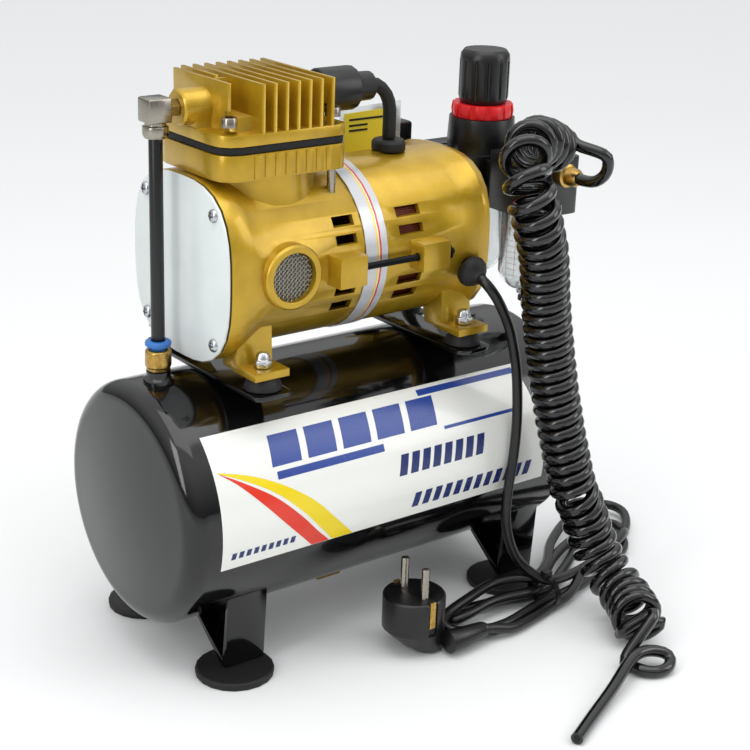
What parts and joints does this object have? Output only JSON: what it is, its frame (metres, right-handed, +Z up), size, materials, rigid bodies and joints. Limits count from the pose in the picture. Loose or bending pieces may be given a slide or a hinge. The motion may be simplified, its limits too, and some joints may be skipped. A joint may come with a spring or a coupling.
{
  "type": "airbrush compressor",
  "caption": "Piston air compressor on a horizontal tank with V-shaped legs, finned cylinder head, white front cover, filter regulator, coiled air hose and tied mains lead.",
  "frame": {"origin": "on the floor, under the middle of the machine's outline seen from above, the free hose and lead left out", "axes": "+X along the tank from the white pump cover to the regulator, +Y away from the side with the tank's label, +Z up"},
  "size_m": [0.3823, 0.2964, 0.329],
  "materials": {
    "black_paint": "gloss black enamel",
    "gold_paint": "metallic gold enamel on cast aluminium",
    "white_paint": "gloss white enamel",
    "black_tube": "satin black tube",
    "rubber": "moulded black rubber",
    "gasket_sheet": "flat black gasket",
    "plated_steel": "bright zinc plate",
    "black_steel": "blackened steel",
    "mesh_steel": "woven wire",
    "lamination": "steel core with copper windings",
    "shaft_steel": "turned steel",
    "rod_alloy": "cast alloy",
    "band_film": "silver film",
    "nickel": "nickel plated fitting",
    "brass": "machined brass",
    "blue_plastic": "moulded blue plastic",
    "black_plastic": "moulded black plastic",
    "inlet_rubber": "extruded black hose",
    "red_plastic": "moulded red plastic",
    "clear_plastic": "clear polycarbonate",
    "hose_plastic": "coiled black polyurethane hose",
    "lead_plastic": "black flexible PVC"
  },
  "bodies": {
    "machine": {"tank_barrel": "black_paint", "tank_head_front": "black_paint", "tank_head_rear": "black_paint", "leg_front_left": "black_paint", "leg_front_right": "black_paint", "leg_rear_left": "black_paint", "leg_rear_right": "black_paint", "saddle_front": "black_paint", "saddle_rear": "black_paint", "crankcase": "gold_paint", "motor_housing": "gold_paint", "cylinder_head": "gold_paint", "front_cover": "white_paint", "delivery_tube": "black_tube", "supply_riser": "black_tube", "foot_front_left": "rubber", "foot_front_right": "rubber", "foot_rear_left": "rubber", "foot_rear_right": "rubber", "mount_front_left": "rubber", "mount_front_right": "rubber", "mount_rear_left": "rubber", "mount_rear_right": "rubber", "hose_grommet": "rubber", "cover_gasket": "gasket_sheet", "head_gasket": "gasket_sheet", "nut_front_left": "plated_steel", "nut_front_right": "plated_steel", "nut_rear_left": "plated_steel", "nut_rear_right": "plated_steel", "clamp_rod_left": "black_steel", "clamp_rod_right": "black_steel", "intake_mesh": "mesh_steel", "stator": "lamination", "trim_band": "band_film", "outlet_elbow": "nickel", "hose_fitting": "nickel", "push_fitting": "brass", "inlet_filter": "black_plastic", "regulator_body": "black_plastic", "trap_body": "black_plastic", "pressure_switch": "black_plastic", "cord_gland": "black_plastic", "inlet_hose": "inlet_rubber", "regulator_bowl": "clear_plastic", "trap_bowl": "clear_plastic", "hose_lead": "hose_plastic", "hose_coil": "hose_plastic", "hose_tail": "hose_plastic", "mains_lead": "lead_plastic", "lead_hank": "lead_plastic", "mains_plug": "lead_plastic"},
    "rotor": {"rotor_shaft": "shaft_steel"},
    "piston": {"piston_rod": "rod_alloy"},
    "knob": {"regulator_knob": "black_plastic"},
    "set_ring": {"lock_ring": "red_plastic"},
    "regulator_valve": {"regulator_drain": "black_plastic"},
    "trap_valve": {"trap_drain": "black_plastic"},
    "collar": {"release_collar": "blue_plastic"},
    "wing_screw": {"drain_screw": "brass"}
  },
  "joints": [
    {"name": "shaft_spin", "type": "hinge", "parent": "machine", "child": "rotor", "pos_m": [-0.00228, -0.00253, 0.2276], "axis": [1, 0, 0], "continuous": true},
    {"name": "piston_stroke", "type": "slide", "parent": "machine", "child": "piston", "axis": [0, 0, 1], "range_m": [-0.006, 0.006]},
    {"name": "knob_turn", "type": "hinge", "parent": "machine", "child": "knob", "pos_m": [0.12672, 0.02247, 0.3], "axis": [0, 0, 1], "range_deg": [-540, 540]},
    {"name": "ring_turn", "type": "hinge", "parent": "machine", "child": "set_ring", "pos_m": [0.12672, 0.02247, 0.2872], "axis": [0, 0, 1], "range_deg": [-60, 60]},
    {"name": "regulator_drain_push", "type": "slide", "parent": "machine", "child": "regulator_valve", "axis": [0, 0, 1], "range_m": [0, 0.0015], "stiffness_N_per_m": 400, "springref_m": -0.001},
    {"name": "trap_drain_push", "type": "slide", "parent": "machine", "child": "trap_valve", "axis": [0, 0, 1], "range_m": [0, 0.0015], "stiffness_N_per_m": 400, "springref_m": -0.001},
    {"name": "collar_push", "type": "slide", "parent": "machine", "child": "collar", "axis": [0, 0, -1], "range_m": [0, 0.001], "stiffness_N_per_m": 800, "springref_m": -0.001},
    {"name": "drain_turn", "type": "hinge", "parent": "machine", "child": "wing_screw", "pos_m": [-0.00228, -0.00253, 0.018], "axis": [0, 0, 1], "range_deg": [-270, 0]}
  ]
}
